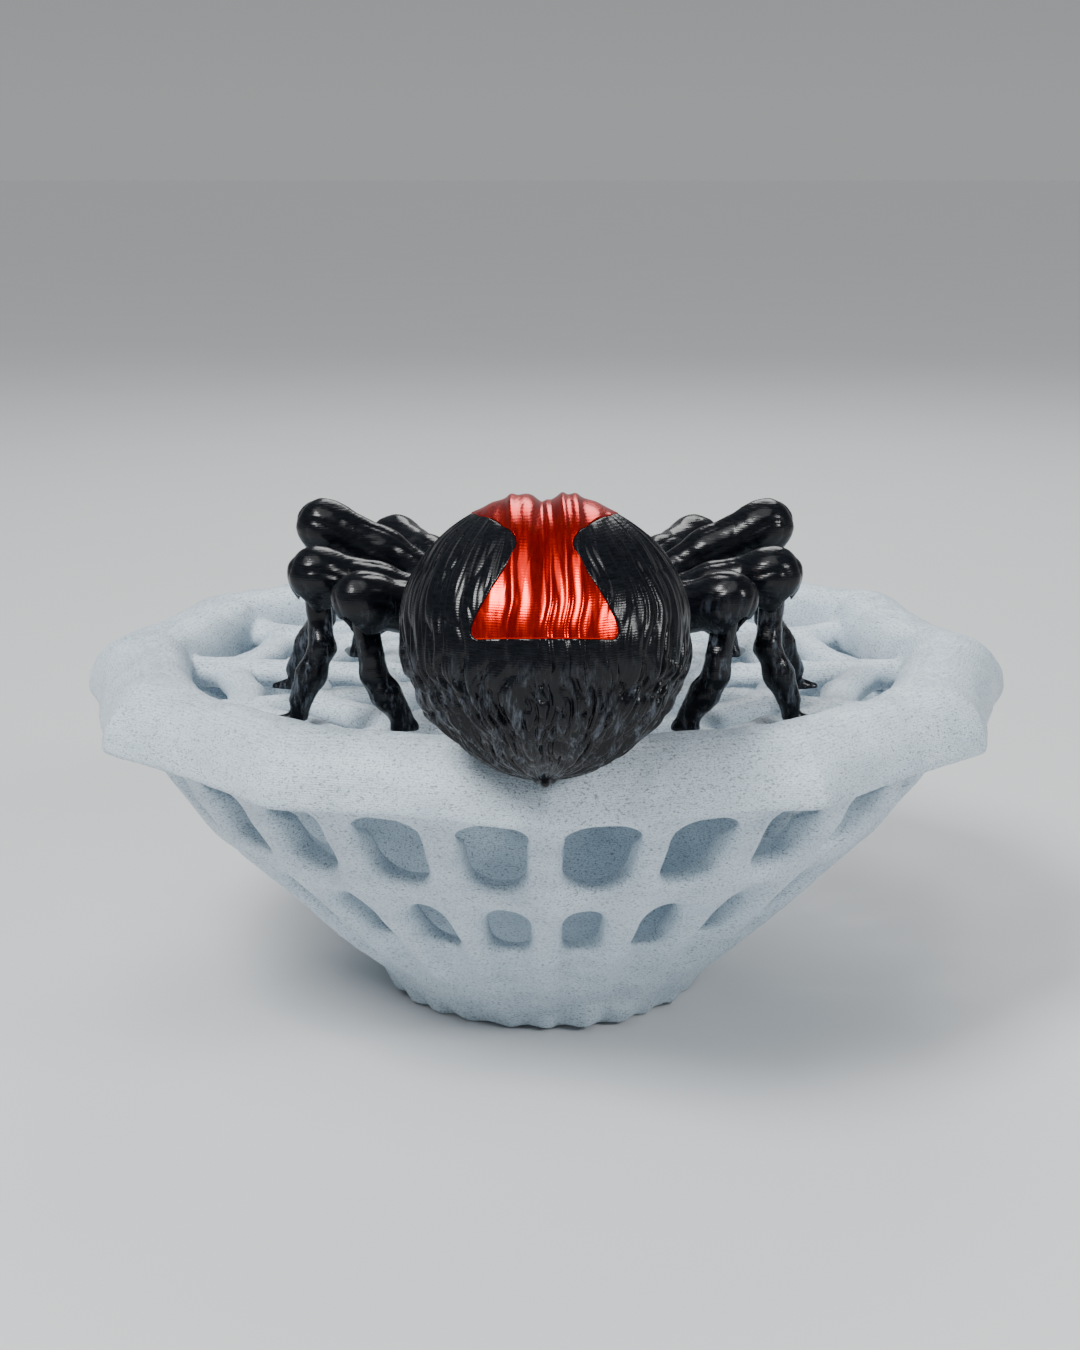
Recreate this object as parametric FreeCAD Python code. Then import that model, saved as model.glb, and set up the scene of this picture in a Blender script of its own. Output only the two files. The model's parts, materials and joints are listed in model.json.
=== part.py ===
"""Posable spider figure standing on the web lid of a conical lattice bowl.  Millimetres, +Z up.

Origin: centre of the bowl's flat base.  The figure's head points to +Y and its abdomen hangs over the
rim at -Y.  Everything except the lid's web is mirrored about the plane X = 0.
"""
import FreeCAD, Part
import math
import os

V = FreeCAD.Vector
UP = V(0, 0, 1)
SIDES = {"left": -1, "right": 1}

# ---------------------------------------------------------------- bowl
BASE_R = 16.7            # outer radius of the wall at the base
SHOULDER = (36.6, 21.0)  # outer radius and height where the wall turns steeper
MOUTH_R = 45.2           # outer radius of the wall at the mouth
BOWL_H = 33.5            # height of the mouth, where the lid's rim rests
BAND_H = 2.9             # height of the level bore at the mouth
MOUTH_BORE_R = 42.2      # inner radius of that band
FLOOR_T = 3.0            # floor thickness
FLOOR_R = 16.0           # inner radius of the wall at the floor
RIBS = 26                # ribs, and windows between them, in each row
UPPER_WINDOW = (23.4, 31.2, 6.3)     # bottom height, top height, width
LOWER_WINDOW = (13.6, 19.3, 4.1)
WINDOW_CORNER_R = 1.6

# ---------------------------------------------------------------- lid
CORNERS = 12             # corners of the rim, and spokes of the web
RIM_R = 44.6             # radius of the rim's centreline at its corners
RIM_TUBE_R = 5.1         # half-width of the rim between corners
KNOT_R = 5.25            # half-width of the rim at its corners
RIM_AXIS_Z = 33.4        # height of the rim's centreline, just under its flat underside
WEB_TOP = 36.0
WEB_T = 2.5              # web thickness
SPOKE_W = 3.4
RING_W = 3.4
RING_RADII = (11.0, 19.0, 27.0, 34.5)
HUB_R = 5.0
LIP_R = 41.9             # the lip drops into the mouth band with 0.3 clearance
LIP_T = 2.6
LIP_H = 2.6

# ---------------------------------------------------------------- figure
PIN_R = 0.8              # hinge pins, offcuts of rod
RUNNING_R = 0.86         # bores that turn on the pins
BODY_Y = -20.0           # middle of the cephalothorax
BODY_HALF_W = 4.0
BODY_HALF_L = 8.0
PLATE_Z = (44.6, 48.2)   # underside and top of the sternum plate
POST_R = 1.8
HIP_R = 1.95
KNEE_R = 2.85
THIGH_R = (1.9, 2.3)    # thigh radius at the hip and behind the knee
HIP_GAP = 1.9
HIP_TONGUE = 1.5
HIP_TONGUE_R = 1.55
KNEE_GAP = 2.1
KNEE_TONGUE = 1.7
KNEE_TONGUE_R = 1.95
NECK_L = 5.0             # how far the shin stays thin enough for the knee's slot
SHIN_R = (1.6, 1.45, 1.15)           # below the knee, at the bend, at the ankle
TOE_R = 1.6
LEGS = {                 # hip, knee, bend and toe of the right-hand legs
    "rear": (V(6.6, -26.3, 46.0), V(17.2, -31.5, 49.8), V(16.2, -31.6, 42.6), V(13.2, -31.0, 37.0)),
    "third": (V(7.0, -22.0, 46.4), V(22.0, -25.6, 51.0), V(21.5, -26.1, 44.0), V(24.4, -25.9, 36.6)),
    "second": (V(7.2, -17.8, 46.6), V(22.1, -16.5, 54.2), V(22.6, -15.4, 44.6), V(26.3, -12.3, 36.4)),
    "front": (V(6.4, -13.4, 46.4), V(16.3, 3.0, 49.3), V(16.6, 2.6, 42.8), V(21.0, 2.5, 36.4)),
}

# ---------------------------------------------------------------- abdomen
ABDOMEN_C = V(0, -47.0, 50.3)
ABDOMEN_AXES = (12.6, 12.7, 11.2)    # half-width, half-length, half-thickness
ABDOMEN_TILT = 35.0                  # tail down
WAIST = V(0, -31.5, 46.3)            # axis of the abdomen's hinge
WAIST_TONGUE = 2.4
WAIST_GAP = 3.0
WAIST_R = 2.4
INLAY_T = 1.2
INLAY_TILT = 15.0                    # the inlay's outline is drawn square to a line this far above level
INLAY_HALF = ((6.4, 13.5), (5.6, 10.2), (2.5, 7.0), (6.2, -0.4), (5.7, -1.2))   # half-width, height


def mirrored(point, side):
    """The point on the chosen side of the figure."""
    return V(point.x * side, point.y, point.z)


def unit(vector):
    """The vector at length one, without changing the one handed in."""
    copy = V(vector)
    copy.normalize()
    return copy


def ball(centre, radius):
    return Part.makeSphere(radius, centre)


def cone(start, end, start_r, end_r):
    span = end - start
    if abs(start_r - end_r) < 1e-6:
        return Part.makeCylinder(start_r, span.Length, start, span)
    return Part.makeCone(start_r, end_r, span.Length, start, span)


def disc(centre, axis, radius, thickness):
    """A round slice centred on a point."""
    return Part.makeCylinder(radius, thickness, centre - axis * (thickness / 2), axis)


def slab(centre, axis, along, thickness, back, front, half_width):
    """A box: thickness on axis, from -back to +front on along, half_width each way across."""
    across = axis.cross(along)
    corner = centre - axis * (thickness / 2) - along * back - across * half_width
    box = Part.makeBox(thickness, back + front, 2 * half_width)
    turn = FreeCAD.Matrix(
        axis.x, along.x, across.x, corner.x,
        axis.y, along.y, across.y, corner.y,
        axis.z, along.z, across.z, corner.z,
        0, 0, 0, 1,
    )
    box.Placement = FreeCAD.Placement(turn)
    return box


def prism(points, height):
    """A closed outline extruded along +Z."""
    return Part.Face(Part.makePolygon(points + points[:1])).extrude(V(0, 0, height))


def corner_points(radius, z):
    """The corners of the lid's polygon, one of them on -Y."""
    angles = [math.radians(-90 + 360 * i / CORNERS) for i in range(CORNERS)]
    return [V(radius * math.cos(a), radius * math.sin(a), z) for a in angles]


def save(name, *solids):
    """Write one node: one solid, or several identical pieces as separate solids."""
    pieces = [solid for shape in solids for solid in shape.Solids]
    shape = pieces[0] if len(pieces) == 1 else Part.makeCompound(pieces)
    shape.exportStep(f"parts/{name}.step")


def window(z_low, z_high, width):
    """One rounded window, as the cutter that points out along +X."""
    low_y, high_y = -width / 2, width / 2
    outline = Part.makePolygon([
        V(0, low_y, z_low), V(0, high_y, z_low), V(0, high_y, z_high), V(0, low_y, z_high), V(0, low_y, z_low),
    ])
    block = Part.Face(outline).extrude(V(60, 0, 0))
    long_edges = [e for e in block.Edges if abs(e.Length - 60) < 1e-6]
    return block.makeFillet(WINDOW_CORNER_R, long_edges)


def lattice_bowl():
    """Conical wall with a floor, a level bore at the mouth and two rows of windows."""
    band_z = BOWL_H - BAND_H
    profile = [
        V(0, 0, 0), V(BASE_R, 0, 0), V(SHOULDER[0], 0, SHOULDER[1]), V(MOUTH_R, 0, BOWL_H),
        V(MOUTH_BORE_R, 0, BOWL_H), V(MOUTH_BORE_R, 0, band_z), V(FLOOR_R, 0, FLOOR_T), V(0, 0, FLOOR_T),
    ]
    wall = Part.Face(Part.makePolygon(profile + profile[:1])).revolve(V(0, 0, 0), UP, 360)
    cutters = []
    for size in (UPPER_WINDOW, LOWER_WINDOW):
        for i in range(RIBS):
            cutter = window(*size)
            cutter.rotate(V(0, 0, 0), UP, 360 * (i + 0.5) / RIBS)
            cutters.append(cutter)
    return wall.cut(cutters)


def web_lid():
    """Half-round rim with a knot at each corner, a spoke-and-ring web, and a lip under the rim."""
    centres = corner_points(RIM_R, RIM_AXIS_Z)
    tubes = [cone(a, b, RIM_TUBE_R, RIM_TUBE_R) for a, b in zip(centres, centres[1:] + centres[:1])]
    rim = tubes[0].multiFuse(tubes[1:] + [ball(c, KNOT_R) for c in centres])
    above = Part.makeBox(120, 120, 10, V(-60, -60, BOWL_H))
    rim = rim.common(above)
    bottom = WEB_TOP - WEB_T
    strands = [Part.makeCylinder(HUB_R, WEB_T, V(0, 0, bottom))]
    for i in range(CORNERS):
        spoke = Part.makeBox(RIM_R, SPOKE_W, WEB_T, V(0, -SPOKE_W / 2, bottom))
        spoke.rotate(V(0, 0, 0), UP, 360 * i / CORNERS)
        strands.append(spoke)
    for radius in RING_RADII:
        outer = prism(corner_points(radius + RING_W / 2, bottom), WEB_T)
        inner = prism(corner_points(radius - RING_W / 2, bottom), WEB_T)
        strands.append(outer.cut(inner))
    lip = Part.makeCylinder(LIP_R, LIP_H, V(0, 0, BOWL_H - LIP_H))
    lip = lip.cut(Part.makeCylinder(LIP_R - LIP_T, LIP_H, V(0, 0, BOWL_H - LIP_H)))
    lid = rim.multiFuse(strands + [lip]).removeSplitter()
    return lid.cut(post())


def post():
    """Peg that carries the figure, pushed through the web and into the sternum plate."""
    return Part.makeCylinder(POST_R, PLATE_Z[0] + 1.6 - 34.2, V(0, BODY_Y, 34.2))


def body_outline(half_width, half_length, z, height):
    """A slot-shaped block centred on the cephalothorax."""
    straight = half_length - half_width
    block = Part.makeBox(2 * half_width, 2 * straight, height, V(-half_width, BODY_Y - straight, z))
    ends = [Part.makeCylinder(half_width, height, V(0, BODY_Y + d, z)) for d in (-straight, straight)]
    return block.multiFuse(ends).removeSplitter()


def hip_axis(leg, side):
    """Level axis square to the thigh: a positive turn lifts the leg."""
    hip, knee = (mirrored(p, side) for p in LEGS[leg][:2])
    along = knee - hip
    return unit(V(along.y, -along.x, 0))


def knee_axis(leg, side):
    """Axis square to the thigh and the shin: a positive turn swings the toe outwards."""
    hip, knee, _, toe = (mirrored(p, side) for p in LEGS[leg])
    return unit((toe - knee).cross(knee - hip))


def hip_tongue(leg, side):
    """Rounded ear of the sternum plate that carries one leg."""
    hip, knee = (mirrored(p, side) for p in LEGS[leg][:2])
    axis = hip_axis(leg, side)
    inward = unit(V(hip.x - knee.x, hip.y - knee.y, 0))
    neck = slab(hip, axis, inward, HIP_TONGUE, 0, abs(hip.x), 1.1)
    return disc(hip, axis, HIP_TONGUE_R, HIP_TONGUE).fuse(neck)


def hip_pin(leg, side):
    return disc(mirrored(LEGS[leg][0], side), hip_axis(leg, side), PIN_R, 3.4)


def knee_pin(leg, side):
    return disc(mirrored(LEGS[leg][1], side), knee_axis(leg, side), PIN_R, 5.0)


def sternum_plate():
    """Plate with eight hip ears, the waist tongue, the bore for the post and sockets for the mouthparts."""
    low, high = PLATE_Z
    plate = body_outline(BODY_HALF_W, BODY_HALF_L, low, high - low)
    ears = [hip_tongue(leg, side) for leg in LEGS for side in SIDES.values()]
    tongue = disc(WAIST, V(1, 0, 0), WAIST_R - 0.2, WAIST_TONGUE)
    arm = slab(WAIST, V(1, 0, 0), V(0, 1, 0), WAIST_TONGUE, 0, 6.0, 1.4)
    plate = plate.multiFuse(ears + [tongue, arm]).removeSplitter()
    bores = [hip_pin(leg, side) for leg in LEGS for side in SIDES.values()]
    mouthparts = [piece(side) for piece in (chelicera, pedipalp) for side in SIDES.values()]
    return plate.cut(bores + mouthparts + [waist_pin(), post()])


def carapace():
    """Domed shell on the sternum plate, highest over the head, with eight small eyes in two rows."""
    top = PLATE_Z[1]
    dome = body_outline(BODY_HALF_W - 0.1, BODY_HALF_L - 0.1, top, 1.0)
    head = Part.makeSphere(1.0).transformGeometry(scaled_to(V(0, BODY_Y + 3.6, top + 0.6), (3.9, 4.4, 3.7), 0))
    thorax = Part.makeSphere(1.0).transformGeometry(scaled_to(V(0, BODY_Y - 3.0, top + 0.6), (3.9, 4.8, 2.9), 0))
    above = Part.makeBox(20, 30, 8, V(-10, BODY_Y - 15, top))
    shell = dome.multiFuse([head, thorax]).common(above)
    eyes = []
    for x in (-2.1, -0.8, 0.8, 2.1):
        eyes.append(ball(V(x, BODY_Y + 7.5 - 0.25 * x * x, top + 1.4), 0.55))
        eyes.append(ball(V(x, BODY_Y + 7.0 - 0.25 * x * x, top + 2.6), 0.45))
    return shell.multiFuse(eyes)


def scaled_to(centre, axes, tilt):
    """Matrix from a unit ball to an ellipsoid, tilted tail down about X."""
    matrix = FreeCAD.Matrix()
    matrix.scale(V(*axes))
    matrix.rotateX(math.radians(tilt))
    matrix.move(centre)
    return matrix


def chelicera(side):
    """Jaw with its fang, hung from the front of the plate."""
    root = V(1.3 * side, BODY_Y + 8.2, 46.6)
    tip = V(1.5 * side, BODY_Y + 10.4, 42.6)
    fang = V(0.9 * side, BODY_Y + 10.0, 40.6)
    return ball(root, 1.2).multiFuse([cone(root, tip, 1.2, 0.9), ball(tip, 0.9), cone(tip, fang, 0.6, 0.15)])


def pedipalp(side):
    """Short feeler beside the jaw."""
    root = V(3.2 * side, BODY_Y + 6.4, 46.4)
    elbow = V(4.4 * side, BODY_Y + 12.0, 47.4)
    tip = V(3.8 * side, BODY_Y + 14.6, 43.4)
    return ball(root, 0.8).multiFuse([cone(root, elbow, 0.8, 0.9), ball(elbow, 0.9), cone(elbow, tip, 0.9, 0.6),
                                      ball(tip, 0.6)])


def thigh(leg, side):
    """Teardrop link, forked at both ends."""
    hip, knee = (mirrored(p, side) for p in LEGS[leg][:2])
    along = unit(knee - hip)
    body = cone(hip, knee, *THIGH_R).multiFuse([ball(hip, HIP_R), ball(knee, KNEE_R)])
    hip_slot = slab(hip, hip_axis(leg, side), along, HIP_GAP, 4.0, HIP_TONGUE_R + 0.35, 4.0)
    knee_slot = slab(knee, knee_axis(leg, side), along, KNEE_GAP, KNEE_TONGUE_R + 0.6, 4.0, 4.0)
    bores = [
        disc(hip, hip_axis(leg, side), RUNNING_R, 8.0),
        disc(knee, knee_axis(leg, side), RUNNING_R, 8.0),
    ]
    return body.cut([hip_slot, knee_slot] + bores)


def shin(leg, side):
    """Shin with a thin round tongue for the knee, one bend and a flared toe."""
    _, knee, bend, toe = (mirrored(p, side) for p in LEGS[leg])
    axis = knee_axis(leg, side)
    down = unit(bend - knee)
    down = unit(down - axis * down.dot(axis))
    shoulder = knee + down * NECK_L
    ankle = toe + V(0, 0, 1.5)
    pieces = [
        slab(knee, axis, down, KNEE_TONGUE, 0, NECK_L + 0.6, 1.0),
        cone(shoulder, bend, SHIN_R[0], SHIN_R[1]),
        ball(bend, SHIN_R[1]),
        cone(bend, ankle, SHIN_R[1], SHIN_R[2]),
        Part.makeCone(TOE_R, 0.9, 2.4, toe, UP),
    ]
    tongue = disc(knee, axis, KNEE_TONGUE_R, KNEE_TONGUE)
    return tongue.multiFuse(pieces).cut(knee_pin(leg, side))


def waist_pin():
    return disc(WAIST, V(1, 0, 0), PIN_R, 6.4)


def abdomen_blank(shrink=0.0):
    """The plain ellipsoid, or one that much smaller all round."""
    axes = tuple(a - shrink for a in ABDOMEN_AXES)
    return Part.makeSphere(1.0).transformGeometry(scaled_to(ABDOMEN_C, axes, ABDOMEN_TILT))


def inlay_prism():
    """The hourglass outline extruded through the upper rear of the abdomen."""
    right = [V(x, 0, z) for x, z in INLAY_HALF]
    left = [V(-p.x, 0, p.z) for p in reversed(right)]
    points = right + left
    block = Part.Face(Part.makePolygon(points + points[:1])).extrude(V(0, -20, 0))
    block.translate(V(0, 3.5, 0))
    block.rotate(V(0, 0, 0), V(1, 0, 0), -INLAY_TILT)
    block.translate(ABDOMEN_C)
    return block


def hourglass_inlay():
    """Red hourglass, let into the abdomen flush with its surface."""
    return abdomen_blank().common(inlay_prism()).cut(abdomen_blank(INLAY_T))


def abdomen_shell():
    """Abdomen with its forked neck, less the inlay's pocket."""
    to_centre = unit(ABDOMEN_C - WAIST)
    neck = cone(WAIST, WAIST + to_centre * 8.0, WAIST_R, 4.4)
    fork = disc(WAIST, V(1, 0, 0), WAIST_R, 5.8)
    body = abdomen_blank().multiFuse([neck, fork])
    slot = slab(WAIST, V(1, 0, 0), V(0, 1, 0), WAIST_GAP, WAIST_R + 0.4, 6.0, 5.0)
    bore = disc(WAIST, V(1, 0, 0), RUNNING_R, 12.0)
    return body.cut([slot, bore, hourglass_inlay()])


def spinnerets():
    """Blunt cluster under the tail."""
    root = V(0, -51.4, 39.6)
    tip = V(0, -52.2, 38.2)
    return cone(root, tip, 1.3, 0.5).cut(abdomen_blank())


os.makedirs("parts", exist_ok=True)
save("lattice_bowl", lattice_bowl())
save("web_lid", web_lid())
save("mounting_post", post())
save("sternum_plate", sternum_plate())
save("carapace", carapace())
save("waist_pin", waist_pin())
save("abdomen_shell", abdomen_shell())
save("hourglass_inlay", hourglass_inlay())
save("spinnerets", spinnerets())
save("hip_pins", *[hip_pin(leg, side) for leg in LEGS for side in SIDES.values()])
for side_name, side_sign in SIDES.items():
    save(f"chelicera_{side_name}", chelicera(side_sign))
    save(f"pedipalp_{side_name}", pedipalp(side_sign))
    for leg_name in LEGS:
        save(f"thigh_{leg_name}_{side_name}", thigh(leg_name, side_sign))
        save(f"shin_{leg_name}_{side_name}", shin(leg_name, side_sign))
        save(f"knee_pin_{leg_name}_{side_name}", knee_pin(leg_name, side_sign))
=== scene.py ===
"""Looks of the posable spider figure on its lidded web bowl.

Shapes are worked out in millimetres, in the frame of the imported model, and scaled to metres when a mesh is
made.  Printed organic pieces are distance fields, meshed with OpenVDB.  The round of the abdomen and its
hourglass are displaced surfaces.
"""
import json
import math

import bpy
import numpy as np
import openvdb
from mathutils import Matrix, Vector


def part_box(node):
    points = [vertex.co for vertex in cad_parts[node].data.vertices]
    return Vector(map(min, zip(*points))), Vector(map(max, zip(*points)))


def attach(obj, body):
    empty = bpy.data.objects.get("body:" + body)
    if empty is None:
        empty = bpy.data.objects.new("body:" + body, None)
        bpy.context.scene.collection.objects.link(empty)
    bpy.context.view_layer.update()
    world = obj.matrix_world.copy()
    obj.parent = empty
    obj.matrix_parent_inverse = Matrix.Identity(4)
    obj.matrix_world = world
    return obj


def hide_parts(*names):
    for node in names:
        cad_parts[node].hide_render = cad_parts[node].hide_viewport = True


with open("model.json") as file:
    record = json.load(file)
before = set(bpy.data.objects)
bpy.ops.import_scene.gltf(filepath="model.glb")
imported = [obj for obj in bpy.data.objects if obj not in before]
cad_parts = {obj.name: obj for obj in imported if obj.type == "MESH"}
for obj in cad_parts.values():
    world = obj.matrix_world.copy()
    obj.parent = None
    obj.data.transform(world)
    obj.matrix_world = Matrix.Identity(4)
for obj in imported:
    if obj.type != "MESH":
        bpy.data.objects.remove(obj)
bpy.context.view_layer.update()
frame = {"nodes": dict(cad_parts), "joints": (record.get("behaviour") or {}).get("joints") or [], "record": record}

MM = 0.001
JOINTS = {j["name"]: j for j in frame["joints"]}
SEED = 71                # each use of randomness adds a number of its own to this
NOISE_CELLS = 32         # cells along each side of the table behind the noise, after which it repeats
EMPTY = 5.0              # distance that fills a field before shapes are added, mm

# ---------------------------------------------------------------- bowl, mm
RIBS = 26
BOWL_H = 33.5
WALL_HEIGHTS = (0.0, 4.0, 9.0, 15.0, 21.0, 27.0, BOWL_H)
WALL_RADII = (16.8, 19.6, 24.5, 30.3, 36.2, 40.7, 45.0)
WALL_T = 3.7             # wall thickness, measured level
WALL_MAX_R = 47.2
WALL_LEAN = 0.73         # turns a level distance into one square to the sloping wall
RIB_SWELL = 0.85         # how far a rib stands out from the wall
RIB_START = (2.0, 13.0)  # heights over which the ribs rise out of the wall
RIB_END = (27.5, 30.4)   # heights over which they sink into it again
BELT_SWELL = 0.45        # how far the belt between the rows of windows stands out
BELT_HALF_H = 1.9
MOUTH_SWELL = 0.35
MOUTH_BORE_R = 42.3
BAND_FOOT = 30.6         # height above which the mouth is bored level for the lid's lip
BAND_BLEND = 3.0
FLOOR_T = 3.0
FOOT_H = 4.0             # height over which the jags of the foot fade out
FOOT_JAG = 0.6           # how far the jags stand out, and cut upwards
UPPER_WINDOW = (23.4, 30.9, 6.2)     # bottom height, top height, width
LOWER_WINDOW = (13.6, 19.5, 4.1)
WINDOW_FLARE = 0.022     # how much wider a window gets per mm of height
WINDOW_CORNER = 0.78     # corner radius as a share of the smaller half
WINDOW_NEAR_R = 8        # a window is cut only beyond this radius, so not in the far wall
BOWL_REACH = 49.0        # half-width of the bowl's field
BOWL_STEP = 0.4
BOWL_BUMPS = ((7.0, 0.30, 1, 0), (2.0, 0.12, 1, 1))  # size, height, squash in z and own seed of noises

# ---------------------------------------------------------------- lid, mm
CORNERS = 12
RIM_R = 44.5             # radius of the rim's centreline at its corners
RIM_HALF_W = 5.05
RIM_H = 5.5              # height of the rim above its flat underside
RIM_DROOP = 0.6          # how far its outer edge hangs below that, outside the wall
RIM_DROOP_RADII = (45.8, 47.0)
RIM_POWER = 2.35         # roundness of its section: 2 is an ellipse, more is squarer
RIM_SKEW = 0.14          # how far its crest leans inwards, as a share of the half-width
RIM_TO_MM = 5.0          # turns the relative size of the section into millimetres
KNOT_HALF_W = 4.0        # half-width of the thicker stretch at each corner
KNOT_OUT = 0.70          # how much the rim thickens there: outwards, inwards and upwards
KNOT_IN = 0.42
KNOT_UP = 0.30
RIM_WAVE = 0.35          # how far the centreline wanders
RIM_BUMPS = ((5.0, 0.20, 1, 13), (1.6, 0.08, 1, 14))
WEB_Z = 34.75            # middle height of the web
WEB_FLAT = 1.35          # how much its strands are squashed in height
SPOKE_STEPS = (          # distance from the middle, drop below WEB_Z and strand radius, along a spoke
    (2.0, 0.0, 1.35), (24.0, 0.0, 1.8), (43.0, -0.3, 2.35),
)
RING_RADII = (11.0, 19.0, 27.0, 34.5)
RING_STRAND_R = (1.7, 2.05)          # smallest and largest strand radius of the rings
RING_SAG = 0.03          # how far a ring's strand bows inwards, as a share of its radius
HUB_R = 4.6
HUB_FLAT = 3.2
TOE_HOLLOW = (16.4, -31.3, 35.7)     # lowest point of the hollow under each rear toe
TOE_HOLLOW_R = 7.0
LIP_R = (39.3, 41.9)     # inner and outer radius of the lip
LIP_H = 2.6
LID_REACH = 51.0         # half-width of the lid's field
LID_STEP = 0.3

# ---------------------------------------------------------------- legs, mm
LEGS = {                 # bend and toe of the right-hand legs, whose hips and knees come from the joints
    "rear": ((16.2, -31.6, 42.6), (13.2, -31.0, 37.0)),
    "third": ((21.5, -26.1, 44.0), (24.4, -25.9, 36.6)),
    "second": ((22.6, -15.4, 44.6), (26.3, -12.3, 36.4)),
    "front": ((16.6, 2.6, 42.8), (21.0, 2.5, 36.4)),
}
KNEE_TURNS = {name: JOINTS[f"knee_{name}_right"]["range_deg"] for name in LEGS}
FOOT_L = {"rear": 1.1, "third": 1.5, "second": 1.6, "front": 1.7}    # length of the toe ahead of its middle
LEG_STEP = 0.17
HIP_R = 1.95
KNEE_R = 2.7
THIGH_R = 1.9            # thigh near the hip, at its swell and near the knee
SWELL_R = 2.35
SWELL_AT = 0.62          # place of the swell, as a share of the thigh's length
THIGH_END_R = 2.6
SKIRT_R = 2.45           # skirt of the knee round the top of the shin
SKIRT_END_R = 1.65
SKIRT_L = 2.4
TONGUE_R = 1.95          # tongue of the shin inside the knee
TONGUE_HALF_T = 0.85
KNEE_SLOT_HALF_W = 1.05
POCKET_R = 2.2           # the knee's slot round the tongue
SLOT_MOUTH_HALF = 1.6    # half-width of its opening, apart from what the swing adds
HIP_SLOT_HALF_W = 0.95
HIP_SLOT_L = 1.9
NECK_R = 1.3             # shin under the tongue, and where it runs into the calf
NECK_END_R = 1.25
NECK_L = 4.3
CALF_AT = 5.5            # distance from the knee to the calf
CALF_R = 1.2             # shin at its bend, at its swell and at the ankle
CALF_SWELL_R = 1.4
ANKLE_R = 1.15
THIGH_BUMPS = ((2.4, 0.08, 1, 31), (0.9, 0.03, 3, 32))
THIGH_FLUTE = 0.10
SHIN_BUMPS = ((1.8, 0.08, 1, 41), (0.8, 0.03, 3, 42))
SHIN_FLUTE = 0.08

# ---------------------------------------------------------------- abdomen, mm
ABDOMEN_C = (0.0, -47.0, 50.3)
ABDOMEN_AXES = (12.6, 12.7, 11.2)
ABDOMEN_TILT = math.radians(35)
ABDOMEN_GRID = (330, 760)            # rows and columns of its skin
POLE_GAP = 0.012         # angle left open round each pole, closed by a fan
TAIL = (0.0, 0.804, -0.594)          # where the flutes meet, on the unit ball: across, along, dorsal
ABDOMEN_NOISE = (        # repeats round the tail, repeats along, wander and own seed of each noise
    (1, 1.3, 0.7, 52), (3, 2.2, 1.1, 53), (8, 4.0, 1.6, 54), (4, 7.0, 3, 55), (15, 7.0, 2.4, 58),
)
TAIL_SWELL = 0.75        # how far the tail end stands out from the plain ellipsoid
CROWN_DROP = 0.25        # how far the top lies below it
GROOVE_DEPTH = 0.80      # groove along the middle of the top
GROOVE_HALF_W = 0.9
LOBE_X = 2.7             # low swell on each side of the groove
LOBE_HALF_W = 1.7
LOBE_H = 0.10
RED_RIDGES = (           # place across, width and height of the upright ridges under the hourglass
    (-4.7, 0.6, 0.08), (-2.9, 0.40, 0.26), (-1.4, 0.7, 0.10), (0.20, 0.35, 0.30),
    (1.55, 0.32, 0.24), (2.65, 0.42, 0.26), (4.4, 0.6, 0.08),
)
INLAY_TILT = math.radians(15)        # the way the hourglass's outline faces, above level
INLAY_HEIGHTS = (        # its outline: heights, and half-widths there
    -1.25, -1.15, -0.95, -0.6, -0.2, 0.6, 2.0, 4.0, 5.6, 6.4, 6.9, 7.5, 8.2, 9.0, 9.8, 10.6, 12.0,
)
INLAY_HALVES = (5.2, 5.7, 5.95, 6.12, 6.12, 5.85, 5.1, 3.85, 2.9, 2.48, 2.36, 2.5, 3.1, 4.2, 5.5, 6.0, 6.6)
INLAY_BEND = 8.6         # height where its rows turn over the top
INLAY_OVER = 3.0         # how far past the abdomen's middle it runs
INLAY_OVER_SHARES = (0, 0.35, 0.6, 1)
INLAY_OVER_HALVES = (3.65, 5.9, 6.6, 6.6)
INLAY_ROWS = (130, 80)   # up the face, and over the top
INLAY_COLUMNS = 150
INLAY_SINK = 0.35        # how far the black lies lower under it
INLAY_PROUD = 0.07       # how far its face stands out
INLAY_ROLL = 0.45        # how far its edge turns in
INLAY_DEPTH = 0.9        # how deep its back lies
FORK_R = (2.3, 4.2)      # neck of the abdomen at the waist, and where it meets the abdomen
FORK_STEP = 0.2
FORK_HALF_W = 4.0
CHEEK_R = 2.35           # round ends of the fork, either side of the tongue
CHEEK_HALF_W = 2.8
FORK_SLOT_HALF_W = 1.5
FORK_SLOT_L = 2.8
WAIST_BORE_R = 0.86
SPINNERET_BOX = ((-2.2, -54.6, 36.4), (2.2, -49.4, 41.4))
SPINNERET_STEP = 0.12

# ---------------------------------------------------------------- materials, in linear colour
MARBLE_SHADE = (0.57, 0.685, 0.775, 1)
MARBLE_PALE = (0.69, 0.815, 0.905, 1)
# painted shade: dark colour laid into the grooves between layer lines
MARBLE_GROOVE_SHADE = (0.24, 0.29, 0.35, 1)
MARBLE_FLECK = (0.09, 0.115, 0.15, 1)
BLACK_DEEP = (0.0015, 0.0018, 0.0028, 1)
BLACK_STREAK = (0.005, 0.0065, 0.010, 1)
# painted sheen: grey-blue colour that stands in for glints reflected on the underside of the abdomen
BLACK_PAINTED_SHEEN = (0.085, 0.100, 0.125, 1)
RED_DEEP = (0.47, 0.003, 0.001, 1)
RED_BRIGHT = (0.78, 0.016, 0.003, 1)
PIN_DARK = (0.008, 0.008, 0.009, 1)
PIN_LIGHT = (0.02, 0.02, 0.022, 1)
FLOOR_DARK = (0.66, 0.67, 0.68, 1)
FLOOR_LIGHT = (0.69, 0.70, 0.71, 1)
SKY_HORIZON = (0.405, 0.413, 0.42, 1)
SKY_TOP = (0.175, 0.185, 0.195, 1)
LAYER_H = 0.2            # height of one printed layer, mm
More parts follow.
